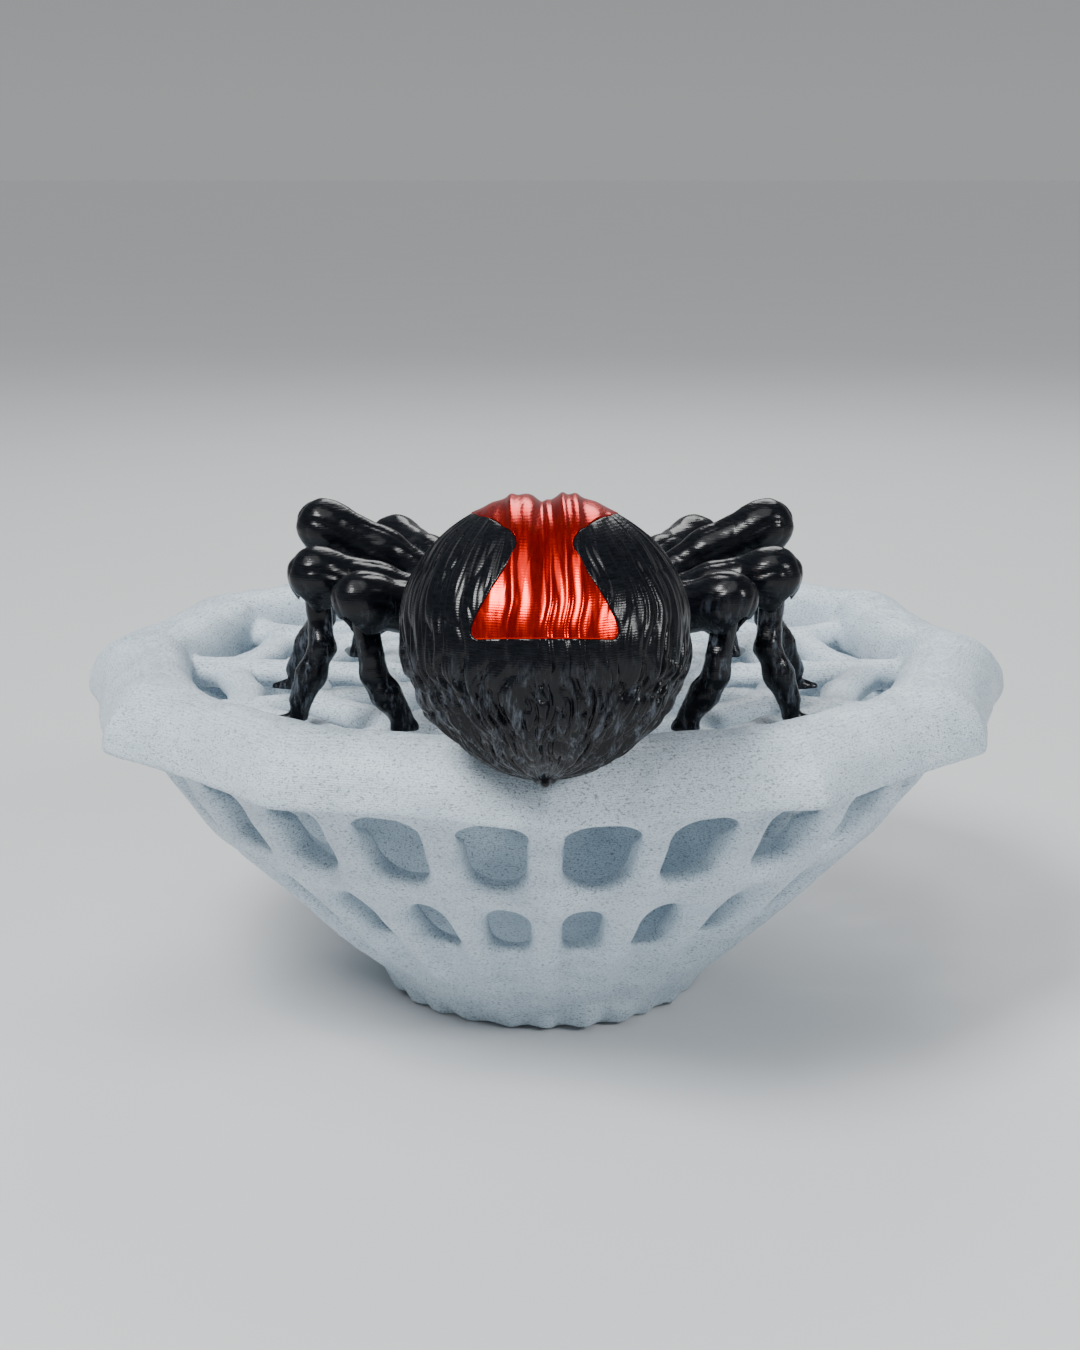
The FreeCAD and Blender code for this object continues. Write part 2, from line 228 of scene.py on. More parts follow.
LAYER_DRIFT = 4.8        # how far the layer lines wander, radians of their wave
PAINTED_SHEEN_HEIGHTS = (51.0, 46.0)         # heights where the painted sheen patches start and are at full strength, mm

# ---------------------------------------------------------------- camera and lights
TARGET = Vector((0, 0, 30 * MM))
CAMERA_DISTANCE = 234.66 * MM
CAMERA_ELEVATION = math.radians(14.98)
LENS = 56.75
SENSOR_W = 36
SHIFT = (-0.0037, 0.0311)
LAMPS = (                # name, place in m, size in m and power in W
    ("key", (-0.22, -0.28, 0.44), 0.16, 2.9),
    ("fill", (0.34, -0.26, 0.28), 0.10, 1.0),
    ("back", (0.05, 0.40, 0.40), 0.26, 1.2),
)
SUN_STRENGTH = 1.2
SUN_ANGLE = math.radians(50)
SUN_TURN = (math.radians(18), math.radians(-14), 0)
SKY_STRENGTH = 0.9
FLOOR_REACH = 6.0        # half-width of the floor, m


# ---------------------------------------------------------------- noise and distance fields
def lattice_noise(x, y, z, size, seed):
    """Smooth random field between -1 and 1, with features about size across."""
    table = np.random.default_rng(seed).uniform(-1, 1, (NOISE_CELLS,) * 3).astype(np.float32)
    cells = [np.asarray(axis, np.float32) / np.float32(size) for axis in (x, y, z)]
    lows = [np.floor(c) for c in cells]
    parts = []
    for c, low in zip(cells, lows):
        t = c - low
        parts.append(t * t * (3 - 2 * t))
    i, j, k = [low.astype(np.int32) for low in lows]
    total = 0
    for a in (0, 1):
        wa = parts[0] if a else 1 - parts[0]
        for b in (0, 1):
            wb = parts[1] if b else 1 - parts[1]
            for c in (0, 1):
                wc = parts[2] if c else 1 - parts[2]
                corner = table[(i + a) % NOISE_CELLS, (j + b) % NOISE_CELLS, (k + c) % NOISE_CELLS]
                total = total + corner * wa * wb * wc
    return total


def layered_noise(x, y, z, layers):
    """Sum of noises, each given by its size, height, squash in z and own seed."""
    total = 0
    for size, height, squash, own_seed in layers:
        total = total + lattice_noise(x, y, z * squash, size, SEED + own_seed) * height
    return total


def ring_noise(phi, radius, size, own_seed):
    """Noise along a circle."""
    return lattice_noise(np.cos(phi) * radius, np.sin(phi) * radius, phi * 0, size, SEED + own_seed)


def ridge(value):
    """Turn smooth noise into rounded ridges with sharp valleys between them, about 0 on average."""
    return 2 * np.sqrt(np.abs(value) + 0.004) - 1.1


def smooth_min(a, b, k):
    h = np.clip(0.5 + 0.5 * (b - a) / k, 0, 1)
    return b + (a - b) * h - k * h * (1 - h)


def smooth_max(a, b, k):
    return -smooth_min(-a, -b, k)


def smooth_step(low, high, value):
    t = np.clip((value - low) / (high - low), 0, 1)
    return t * t * (3 - 2 * t)


def unit(vector):
    vector = np.array(vector, float)
    return vector / np.linalg.norm(vector)


class Field:
    """A distance field on a grid, negative inside the solid."""

    def __init__(self, low, high, step):
        self.low = np.array(low, float)
        self.step = step
        self.count = np.ceil((np.array(high) - self.low) / step).astype(int) + 1
        self.values = np.full(self.count, EMPTY, np.float32)

    def axes(self, window=None):
        """Broadcastable x, y and z of the whole grid or of a window of it."""
        window = window or tuple(slice(0, n) for n in self.count)
        shapes = ((-1, 1, 1), (1, -1, 1), (1, 1, -1))
        steps = [np.arange(part.start, part.stop) for part in window]
        return [
            (low + self.step * step).astype(np.float32).reshape(shape)
            for low, step, shape in zip(self.low, steps, shapes)
        ]

    def window(self, low, high):
        """Part of the grid inside a box."""
        starts = np.clip(np.floor((np.array(low) - self.low) / self.step).astype(int), 0, self.count - 1)
        stops = np.clip(np.ceil((np.array(high) - self.low) / self.step).astype(int) + 1, 1, self.count)
        return tuple(slice(int(a), int(b)) for a, b in zip(starts, stops))

    def add(self, distance, low, high, blend):
        """Join a shape, given as a function of x, y and z, inside a box."""
        win = self.window(low, high)
        self.values[win] = smooth_min(self.values[win], distance(*self.axes(win)), blend)

    def add_rods(self, rods, low, high):
        """Join rods inside a box, each given by its ends, their radii and how softly it joins."""
        for start, end, start_r, end_r, blend in rods:
            self.add(round_cone(start, end, start_r, end_r), low, high, blend)

    def carve(self, distance, low, high, blend):
        """Cut a shape away inside a box."""
        win = self.window(low, high)
        self.values[win] = smooth_max(self.values[win], -distance(*self.axes(win)), blend)

    def mesh(self, name):
        """Mesh object of the surface."""
        grid = openvdb.FloatGrid(EMPTY)
        grid.copyFromArray(self.values.astype(np.float32))
        points, quads = grid.convertToQuads(0.0)
        return make_mesh(name, self.low + np.array(points) * self.step, quads)


def round_cone(p, q, r_p, r_q, flat=1.0):
    """Distance to a tapered rod with round ends; flat above 1 squashes it in height."""
    p = np.array(p, float)
    q = np.array(q, float)
    span = q - p
    span_z = span[2] * flat
    length2 = float(span[0] ** 2 + span[1] ** 2 + span_z ** 2)

    def distance(x, y, z):
        dx, dy, dz = x - p[0], y - p[1], (z - p[2]) * flat
        t = np.clip((dx * span[0] + dy * span[1] + dz * span_z) / length2, 0, 1)
        gap = np.sqrt((dx - t * span[0]) ** 2 + (dy - t * span[1]) ** 2 + (dz - t * span_z) ** 2)
        return (gap - (r_p + (r_q - r_p) * t)) / (1 if flat == 1 else 0.5 * (1 + flat))
    return distance


def offset_along(centre, axis, x, y, z):
    """How far points lie from centre, measured along axis."""
    return (x - centre[0]) * axis[0] + (y - centre[1]) * axis[1] + (z - centre[2]) * axis[2]


def box_round(points, margin):
    """Low and high corner of the box round some points, with a margin."""
    return np.min(points, 0) - margin, np.max(points, 0) + margin


# ---------------------------------------------------------------- meshes
def add_object(name, data):
    made = bpy.data.objects.new(name, data)
    bpy.context.scene.collection.objects.link(made)
    return made


def smooth_object(name, mesh):
    """An object for the mesh, with its faces shaded smooth."""
    mesh.polygons.foreach_set("use_smooth", np.ones(len(mesh.polygons), bool))
    return add_object(name, mesh)


def make_mesh(name, points_mm, faces):
    """A mesh object from points in millimetres and triangles or quads, with its faces turned outwards."""
    points = np.asarray(points_mm, float) * MM
    faces = np.asarray(faces)
    a, b, c = (points[faces[:, i]] for i in range(3))
    volume = float(np.einsum("ij,ij->i", a, np.cross(b, c)).sum())
    if faces.shape[1] == 4:
        d = points[faces[:, 3]]
        volume += float(np.einsum("ij,ij->i", a, np.cross(c, d)).sum())
    if volume < 0:
        faces = faces[:, ::-1]
    mesh = bpy.data.meshes.new(name)
    mesh.from_pydata(points.tolist(), [], faces.tolist())
    mesh.update()
    return smooth_object(name, mesh)


def make_poly_mesh(name, points_mm, faces):
    """Like make_mesh, for faces of mixed size that already point all outwards or all inwards."""
    mesh = bpy.data.meshes.new(name)
    mesh.from_pydata((np.asarray(points_mm) * MM).tolist(), [], faces)
    mesh.update()
    centre = Vector(np.mean(points_mm, 0) * MM)
    outward = sum((p.center - centre).dot(p.normal) for p in mesh.polygons)
    if outward < 0:
        mesh.flip_normals()
    return smooth_object(name, mesh)


def relax(piece, factor, times):
    """Even out the small steps that meshing a field leaves."""
    smooth = piece.modifiers.new("relax", "SMOOTH")
    smooth.factor = factor
    smooth.iterations = times
    bpy.context.view_layer.objects.active = piece
    bpy.ops.object.select_all(action="DESELECT")
    piece.select_set(True)
    bpy.ops.object.modifier_apply(modifier=smooth.name)


def mirror_copy(piece, name):
    """The same piece on the other side of X = 0."""
    mesh = piece.data
    points = np.empty(len(mesh.vertices) * 3)
    mesh.vertices.foreach_get("co", points)
    points = points.reshape(-1, 3) * (-1, 1, 1)
    faces = [list(reversed(p.vertices)) for p in mesh.polygons]
    return make_mesh(name, points / MM, faces)


def grid_faces(rows, columns, wrap):
    """Quads of a grid of points, closed round its columns where wrap is true."""
    last = columns if wrap else columns - 1
    i, j = np.meshgrid(np.arange(rows - 1), np.arange(last), indexing="ij")
    here = i * columns
    below = here + columns
    after = (j + 1) % columns
    return np.stack((here + j, here + after, below + after, below + j), -1).reshape(-1, 4)


# ---------------------------------------------------------------- materials
class Nodes:
    """Shorthand for building one material."""

    def __init__(self, name):
        self.material = bpy.data.materials.new(name)
        self.material.use_nodes = True
        self.tree = self.material.node_tree
        self.shader = self.tree.nodes["Principled BSDF"]
        coordinates = self.tree.nodes.new("ShaderNodeTexCoord")
        self.place = coordinates.outputs["Object"]

    def node(self, kind, inputs=None, **settings):
        made = self.tree.nodes.new(kind)
        for key, value in settings.items():
            setattr(made, key, value)
        for key, value in (inputs or {}).items():
            self.feed(made.inputs[key], value)
        return made

    def feed(self, socket, value):
        if isinstance(value, bpy.types.NodeSocket):
            self.tree.links.new(value, socket)
        else:
            socket.default_value = value

    def stretched(self, x, y, z):
        """Place in millimetres, scaled on each axis."""
        return self.node(
            "ShaderNodeMapping", {"Vector": self.place, "Scale": (x / MM, y / MM, z / MM)}
        ).outputs["Vector"]

    def height(self):
        """Height in millimetres."""
        return self.node("ShaderNodeSeparateXYZ", {"Vector": self.stretched(1, 1, 1)}).outputs["Z"]

    def noise(self, vector, scale, detail=3.0, rough=0.5):
        made = self.node(
            "ShaderNodeTexNoise", {"Vector": vector, "Scale": scale, "Detail": detail, "Roughness": rough}
        )
        return made.outputs["Fac"]

    def math(self, operation, a, b=0.0):
        made = self.node("ShaderNodeMath", operation=operation)
        self.feed(made.inputs[0], a)
        self.feed(made.inputs[1], b)
        return made.outputs[0]

    def range(self, value, from_low, from_high, to_low, to_high):
        """Map a value from one range onto another, held at its ends."""
        made = self.node("ShaderNodeMapRange", {
            "Value": value, "From Min": from_low, "From Max": from_high,
            "To Min": to_low, "To Max": to_high,
        })
        return made.outputs["Result"]

    def mix(self, factor, a, b):
        made = self.node("ShaderNodeMix", data_type="RGBA")
        self.feed(made.inputs["Factor"], factor)
        self.feed(made.inputs[6], a)
        self.feed(made.inputs[7], b)
        return made.outputs[2]

    def bump(self, height, distance_mm, onto=None):
        """Normals bent by a height, on top of another bump if one is given."""
        distance = distance_mm * MM
        made = self.node("ShaderNodeBump", {"Height": height, "Distance": distance, "Strength": 1.0})
        if onto:
            self.feed(made.inputs["Normal"], onto)
        return made.outputs["Normal"]

    def layer_lines(self):
        """Rounded ridges one printed layer apart, a little uneven."""
        drift = self.noise(self.stretched(0.35, 0.35, 2.0), 1.0, detail=2.0)
        turns = self.math("MULTIPLY", self.height(), 2 * math.pi / LAYER_H)
        turns = self.math("ADD", turns, self.math("MULTIPLY", drift, LAYER_DRIFT))
        return self.math("SINE", turns)

    def set(self, **inputs):
        for key, value in inputs.items():
            self.feed(self.shader.inputs[key.replace("_", " ")], value)


def marble_plastic():
    """Pale grey printed plastic with dark flecks, and layer lines whose grooves are darkened with painted shade.
    """
    n = Nodes("marble_plastic")
    flecks = n.noise(n.stretched(1.0, 1.0, 1.9), 3.0, detail=2.0, rough=0.6)
    fleck_mask = n.range(flecks, 0.56, 0.66, 0.0, 0.70)
    fine = n.noise(n.stretched(1.0, 1.0, 2.2), 6.5, detail=1.0)
    fine_mask = n.range(fine, 0.55, 0.68, 0.0, 0.65)
    mask = n.math("MAXIMUM", fleck_mask, fine_mask)
    cloud = n.noise(n.stretched(0.22, 0.22, 0.5), 1.0)
    base = n.mix(n.range(cloud, 0.3, 0.7, 0.0, 1.0), MARBLE_SHADE, MARBLE_PALE)
    lines = n.layer_lines()
    # painted shade: the grooves of the layer lines darkened by up to a fifth
    base = n.mix(n.range(lines, -1.0, 1.0, 0.20, 0.0), base, MARBLE_GROOVE_SHADE)
    grain = n.bump(n.noise(n.stretched(1, 1, 1.4), 3.2, detail=4.0), 0.03)
    n.set(Base_Color=n.mix(mask, base, MARBLE_FLECK), Normal=n.bump(lines, 0.008, grain))
    n.set(Roughness=n.range(flecks, 0.3, 0.7, 0.42, 0.56), Specular_IOR_Level=0.4)
    return n.material


def silk_black():
    """Glossy black silk plastic with fine streaks and layer lines, and patches of painted grey sheen low on the
    abdomen.
    """
    n = Nodes("silk_black")
    streak = n.noise(n.stretched(0.9, 0.9, 5.0), 1.3, detail=4.0, rough=0.6)
    lines = n.layer_lines()
    black = n.mix(n.range(streak, 0.35, 0.75, 0.0, 1.0), BLACK_DEEP, BLACK_STREAK)
    grain = n.bump(n.noise(n.stretched(1, 1, 1.6), 3.0), 0.012)
    # painted sheen: noisy grey patches mixed into the black low down, standing in for reflected glints; legs that
    # reach that low get them too
    painted_sheen_noise = n.noise(n.stretched(1.0, 1.0, 0.26), 1.2, detail=6.0, rough=0.72)
    painted_sheen_mask = n.range(painted_sheen_noise, 0.52, 0.66, 0.0, 0.9)
    painted_sheen = n.math("MULTIPLY", painted_sheen_mask, n.range(n.height(), *PAINTED_SHEEN_HEIGHTS, 0.0, 1.0))
    n.set(Base_Color=n.mix(painted_sheen, black, BLACK_PAINTED_SHEEN), Normal=n.bump(lines, 0.0022, grain))
    n.set(Roughness=n.range(streak, 0.3, 0.7, 0.17, 0.28), Specular_IOR_Level=0.25)
    return n.material


def silk_red():
    """Glossy red silk plastic, pearly, with fine upright streaks and layer lines."""
    n = Nodes("silk_red")
    streak = n.noise(n.stretched(2.6, 0.5, 0.35), 1.0, detail=4.0, rough=0.6)
    lines = n.layer_lines()
    colour = n.mix(n.range(streak, 0.3, 0.7, 0.0, 1.0), RED_DEEP, RED_BRIGHT)
    n.set(Base_Color=colour, Normal=n.bump(lines, 0.0015, n.bump(streak, 0.004)))
    n.set(Roughness=n.range(streak, 0.3, 0.7, 0.20, 0.28), Metallic=0.94, Specular_IOR_Level=0.15)
    return n.material


def pin_plastic():
    """Smooth black rod with faint drawing marks."""
    n = Nodes("pin_plastic")
    marks = n.noise(n.stretched(1, 1, 1), 4.0)
    n.set(Base_Color=n.mix(marks, PIN_DARK, PIN_LIGHT), Normal=n.bump(marks, 0.01))
    n.set(Roughness=n.range(marks, 0.3, 0.7, 0.25, 0.4))
    return n.material


def floor_paint():
    """Plain pale floor with the faintest mottling."""
    n = Nodes("floor_paint")
    mottle = n.noise(n.stretched(0.02, 0.02, 0.02), 1.0, detail=2.0)
    n.set(Base_Color=n.mix(mottle, FLOOR_DARK, FLOOR_LIGHT), Roughness=0.7, Specular_IOR_Level=0.2)
    return n.material


# ---------------------------------------------------------------- bowl
def bowl_shape():
    """Conical wall with rounded ribs, two rows of rounded windows, a floor and a jagged foot."""
    field = Field((-BOWL_REACH, -BOWL_REACH, -0.6), (BOWL_REACH, BOWL_REACH, BOWL_H + 0.6), BOWL_STEP)
    x, y, z = field.axes()
    r = np.sqrt(x * x + y * y)
    phi = np.arctan2(y, x)
    turn = 2 * math.pi / RIBS
    bumps = layered_noise(x, y, z, BOWL_BUMPS)
    ribs = np.cos((phi + math.pi / 2) / turn * 2 * math.pi)
    belt_z = (LOWER_WINDOW[1] + UPPER_WINDOW[0]) / 2
    belt = np.exp(-((z - belt_z) / BELT_HALF_H) ** 2)
    rib_fade = smooth_step(*RIB_START, z) * (1 - smooth_step(*RIB_END, z)) * (1 - 0.55 * belt)
    mouth = smooth_step(BAND_FOOT - BAND_BLEND, BAND_FOOT, z)
    wall_r = np.interp(z, WALL_HEIGHTS, WALL_RADII).astype(np.float32)
    swell = RIB_SWELL * ribs * rib_fade
    outer_r = wall_r + swell + BELT_SWELL * belt + bumps * (1 - 0.7 * mouth) + MOUTH_SWELL * mouth
    jag = ring_noise(phi, 17, 1.5, 2)
    foot = (0.3 * ribs + FOOT_JAG * jag) * (1 - smooth_step(0.4, FOOT_H, z))
    outer = (r - np.minimum(outer_r + foot, WALL_MAX_R)) * WALL_LEAN
    plain_r = np.minimum(wall_r - WALL_T + 0.5 * bumps, MOUTH_BORE_R)
    inner = (r - (plain_r * (1 - mouth) + MOUTH_BORE_R * mouth)) * WALL_LEAN
    hollow = smooth_max(inner, FLOOR_T - z, 1.2)
    wall = smooth_max(outer, -hollow, 0.9)
    wall = np.maximum(wall, z - BOWL_H)
    lift = (0.22 - 0.12 * ribs + FOOT_JAG * np.maximum(jag, 0)) * smooth_step(14.0, WALL_RADII[0], r)
    field.values[:] = np.maximum(wall, lift - z)
    carve_windows(field)
    bowl = field.mesh("bowl_lattice")
    relax(bowl, 0.5, 2)
    return bowl


def carve_windows(field):
    """Both rows of windows, each window a little different."""
    random = np.random.default_rng(SEED + 5)
    turn = 2 * math.pi / RIBS
    for bottom, top, width in (UPPER_WINDOW, LOWER_WINDOW):
        middle = (bottom + top) / 2
        wall_r = float(np.interp(middle, WALL_HEIGHTS, WALL_RADII))
        for i in range(RIBS):
            angle = turn * (i + 0.5) - math.pi / 2 + random.uniform(-0.3, 0.3) / wall_r
            half_w = width / 2 * (1 + random.uniform(-0.10, 0.06))
            half_h = (top - bottom) / 2 * (1 + random.uniform(-0.07, 0.03))
            lean = random.uniform(-0.07, 0.07)
            carve_window(field, angle, middle, half_w, half_h, lean, wall_r)


def carve_window(field, angle, middle, half_w, half_h, lean, wall_r):
    """One rounded window, wider towards the mouth like the wall round it."""
    out = (math.cos(angle), math.sin(angle))
    corner = min(half_w, half_h) * WINDOW_CORNER

    def distance(x, y, z):
        depth = x * out[0] + y * out[1]
        across = -x * out[1] + y * out[0]
        rise = z - middle
        flare = 1 + WINDOW_FLARE * rise
        a = np.abs(across - lean * rise) - half_w * flare + corner
        b = np.abs(rise) - half_h + corner
        outside = np.sqrt(np.maximum(a, 0) ** 2 + np.maximum(b, 0) ** 2)
        gap = outside + np.minimum(np.maximum(a, b), 0) - corner
        return np.maximum(gap, WINDOW_NEAR_R - depth)
    centre = np.array((out[0] * wall_r, out[1] * wall_r, middle))
    reach = np.array((13, 13, half_h + 2))
    field.carve(distance, centre - reach, centre + reach, 1.1)


# ---------------------------------------------------------------- lid
def rim_centre(phi):
    """Radius and lift of the rim's slightly wavy centreline, and its knot: 1 at a corner, 0 between."""
    pitch = 2 * math.pi / CORNERS
    within = np.mod(phi + math.pi / 2 + pitch / 2, pitch) - pitch / 2
    from_side = pitch / 2 - np.abs(within)
    radius = RIM_R * math.cos(pitch / 2) / np.cos(from_side)
    knot = np.exp(-(within * RIM_R / KNOT_HALF_W) ** 2)
    lift = RIM_WAVE * ring_noise(phi, 44, 13.0, 12)
    return radius + RIM_WAVE * ring_noise(phi, 44, 16.0, 11), lift, knot


def lid_shape():
    """Thick rim with a knot at each corner, a spoke-and-ring web inside it, and the lip below."""
    field = Field((-LID_REACH, -LID_REACH, BOWL_H - LIP_H - 0.6), (LID_REACH, LID_REACH, 41), LID_STEP)
    x, y, z = field.axes()
    r = np.sqrt(x * x + y * y)
    phi = np.arctan2(y, x)
    centre, lift, knot = rim_centre(phi)
    bumps = layered_noise(x, y, z, RIM_BUMPS)
    across = (r - centre) / (RIM_HALF_W + np.where(r > centre, KNOT_OUT, KNOT_IN) * knot)
    up = (z - BOWL_H) / (RIM_H + lift + KNOT_UP * knot)
    skew = across + RIM_SKEW * np.clip(up, 0, 1)
    size = (np.abs(skew) ** RIM_POWER + np.abs(np.maximum(up, 0)) ** RIM_POWER) ** (1 / RIM_POWER)
    underside = BOWL_H - RIM_DROOP * smooth_step(*RIM_DROOP_RADII, r)
    field.values[:] = smooth_max((size - 1) * RIM_TO_MM + bumps, underside - z, 0.5)
    web(field)
    toe_hollows(field)
    web_floor = np.where(r > LIP_R[0] - 1.5, underside, BOWL_H - 0.6)
    field.values[:] = np.maximum(field.values, web_floor - z)
    ring = np.maximum(r - LIP_R[1], LIP_R[0] - r)
    lip = np.maximum(ring, np.maximum(BOWL_H - LIP_H - z, z - (BOWL_H + 0.4)))
    field.values[:] = np.minimum(field.values, lip)
    lid = field.mesh("web_and_rim")
    relax(lid, 0.5, 1)
    return lid


def web(field):
    """Twelve spokes and four rings of rounded strands, each a little different."""
    random = np.random.default_rng(SEED + 21)
    angles = [
        -math.pi / 2 + 2 * math.pi * i / CORNERS + random.uniform(-0.025, 0.025) for i in range(CORNERS)
    ]

    def point(angle, radius, drop=0.0):
        return np.array((radius * math.cos(angle), radius * math.sin(angle), WEB_Z - drop))
    for angle in angles:
        for (near, near_drop, near_r), (far, far_drop, far_r) in zip(SPOKE_STEPS, SPOKE_STEPS[1:]):
            strand(field, point(angle, near, near_drop), point(angle, far, far_drop), near_r, far_r)
    hub = round_cone((0, 0, WEB_Z), (0, 0.1, WEB_Z), HUB_R, HUB_R, HUB_FLAT)
    field.add(hub, (-8, -8, 30), (8, 8, 40), 1.0)
    for radius in RING_RADII:
        reach = [radius + random.uniform(-0.6, 0.6) for _ in angles]
        for i, angle in enumerate(angles):
            following = (i + 1) % CORNERS
            end_angle = angles[following] + (2 * math.pi if following == 0 else 0)
            start = point(angle, reach[i])
            end = point(end_angle, reach[following])
            sag = (start + end) / 2 * (1 - RING_SAG)
            sag[2] = WEB_Z - random.uniform(0.0, 0.25)
            strand_r = random.uniform(*RING_STRAND_R)
            strand(field, start, sag, strand_r + 0.15, strand_r)
            strand(field, sag, end, strand_r, strand_r + 0.15)


def strand(field, start, end, start_r, end_r):
    low, high = box_round((start, end), max(start_r, end_r) + 1.5)
    field.add(round_cone(start, end, start_r, end_r, WEB_FLAT), low, high, 0.6)


def toe_hollows(field):
    """Shallow hollows in the web where the rear toes swing lowest."""
    for x in (-TOE_HOLLOW[0], TOE_HOLLOW[0]):
        centre = np.array((x, TOE_HOLLOW[1], TOE_HOLLOW[2] + TOE_HOLLOW_R))
        hollow = round_cone(centre, centre + (0, 0.1, 0), TOE_HOLLOW_R, TOE_HOLLOW_R)
        field.carve(hollow, centre - (4, 4, TOE_HOLLOW_R + 2), centre + (4, 4, 0), 0.4)


# ---------------------------------------------------------------- legs
def joint_place(name):
    """A point on the joint's axis in mm, and the axis."""
    joint = JOINTS[name]
    return np.array(joint["pos_m"]) / MM, unit(joint["axis"])


def plate_distance(centre, axis, half, x, y, z):
    """Distance to the slice between two planes square to axis."""
    return np.abs(offset_along(centre, axis, x, y, z)) - half


def shin_way(leg, knee, axis):
    """Unit vector from the knee towards the shin's bend, square to the knee's axis."""
    down = np.array(LEGS[leg][0]) - knee
    return unit(down - axis * down.dot(axis))


def knee_slot(leg, knee, axis, x, y, z):
    """Distance to the slot in the knee: a round pocket for the tongue, open where the shin swings."""
    down = shin_way(leg, knee, axis)
    outward = np.cross(axis, down)
    low_turn, high_turn = (math.radians(a) for a in KNEE_TURNS[leg])
    middle = (low_turn + high_turn) / 2
    spread = (high_turn - low_turn) / 2
    along_down = offset_along(knee, down, x, y, z)
    along_out = offset_along(knee, outward, x, y, z)
    pocket = np.sqrt(along_down ** 2 + along_out ** 2) - POCKET_R
    forward = along_down * math.cos(middle) + along_out * math.sin(middle)
    sideways = np.abs(along_out * math.cos(middle) - along_down * math.sin(middle))
    mouth = sideways * math.cos(spread) - forward * math.sin(spread) - SLOT_MOUTH_HALF
    opening = np.minimum(pocket, np.maximum(mouth, -forward))
    return np.maximum(plate_distance(knee, axis, KNEE_SLOT_HALF_W, x, y, z), opening)


def thigh_shape(leg, name):
    """Teardrop thigh that swells into the round knee, slotted at both ends."""
    hip, hip_axis = joint_place(f"hip_{leg}_right")
    knee, knee_axis = joint_place(f"knee_{leg}_right")
    along = unit(knee - hip)
    across = unit(np.cross(along, (0, 0, 1)))
    up = np.cross(across, along)
    length = float(np.linalg.norm(knee - hip))
    swell = hip + along * (length * SWELL_AT) + up * 0.25
    down = shin_way(leg, knee, knee_axis)
    low, high = box_round((hip, knee), 5.0)
    field = Field(low, high, LEG_STEP)
    field.add_rods((
        (hip, hip + along * 2.5, HIP_R, HIP_R, 0.01),
        (hip + along * 1.5, swell, THIGH_R, SWELL_R, 0.8),
        (swell, knee - along * 1.6, SWELL_R, THIGH_END_R, 0.8),
        (knee - along * 0.3, knee, KNEE_R, KNEE_R, 0.9),
        (knee, knee + down * SKIRT_L, SKIRT_R, SKIRT_END_R, 0.7),
    ), low, high)
    x, y, z = field.axes()
    lengthways, sideways, upwards = (offset_along(hip, axis, x, y, z) for axis in (along, across, up))
    flutes = ridge(lattice_noise(lengthways * 0.28, sideways, upwards, 1.5, SEED + 33))
    field.values += layered_noise(x, y, z, THIGH_BUMPS) - THIGH_FLUTE * flutes
    hip_slot = np.maximum(plate_distance(hip, hip_axis, HIP_SLOT_HALF_W, x, y, z), lengthways - HIP_SLOT_L)
    field.values[:] = smooth_max(field.values, -hip_slot, 0.2)
    field.values[:] = smooth_max(field.values, -knee_slot(leg, knee, knee_axis, x, y, z), 0.25)
    return field.mesh(name)


def shin_shape(leg, name):
    """Shin: thin round tongue in the knee, a calf, a bend and a broad flared toe."""
    hip, _ = joint_place(f"hip_{leg}_right")
    knee, axis = joint_place(f"knee_{leg}_right")
    bend, toe = (np.array(p) for p in LEGS[leg])
    down = shin_way(leg, knee, axis)
    outward = unit((knee - hip) * (1, 1, 0))
    ankle = toe + (bend - toe) * 0.2 + (0, 0, 0.5)
    swell = (bend + ankle) / 2
    low, high = box_round((knee, bend, toe), 4.2)
    low[2] = toe[2] - 0.6
    field = Field(low, high, LEG_STEP)
    field.add_rods((
        (knee, knee + down * 0.05, TONGUE_R, TONGUE_R, 0.01),
        (knee, knee + down * NECK_L, NECK_R, NECK_END_R, 0.5),
    ), low, high)
    x, y, z = field.axes()
    tongue = plate_distance(knee, axis, TONGUE_HALF_T, x, y, z)
    field.values[:] = smooth_max(field.values, tongue, 0.25)
    field.add_rods((
        (knee + down * CALF_AT, bend, NECK_END_R, CALF_R, 0.5),
        (bend, swell, CALF_R, CALF_SWELL_R, 0.8),
        (swell, ankle, CALF_SWELL_R, ANKLE_R, 0.8),
        (toe - outward * 0.4 + (0, 0, 0.25), toe + outward * FOOT_L[leg] + (0, 0, 0.15), 0.9, 0.5, 1.0),
    ), low, high)
    flutes = ridge(lattice_noise(x, y, z * 0.3, 1.3, SEED + 43))
    from_knee = np.sqrt((x - knee[0]) ** 2 + (y - knee[1]) ** 2 + (z - knee[2]) ** 2)
    relief = layered_noise(x, y, z, SHIN_BUMPS) - SHIN_FLUTE * flutes
    field.values += relief * smooth_step(3.6, 5.0, from_knee)
    field.values[:] = np.maximum(field.values, toe[2] - z)
    return field.mesh(name)


# ---------------------------------------------------------------- abdomen
def abdomen_frame():
    """Unit vectors of the abdomen: across, towards the tail, and dorsal."""
    c, s = math.cos(ABDOMEN_TILT), math.sin(ABDOMEN_TILT)
    return np.array(((1, 0, 0), (0, -c, -s), (0, -s, c)), float)


def pole_frame():
    """Tail pole on the unit ball, and two vectors square to it."""
    pole = unit(TAIL)
    side = np.array((1.0, 0.0, 0.0))
    return pole, side, np.cross(pole, side)


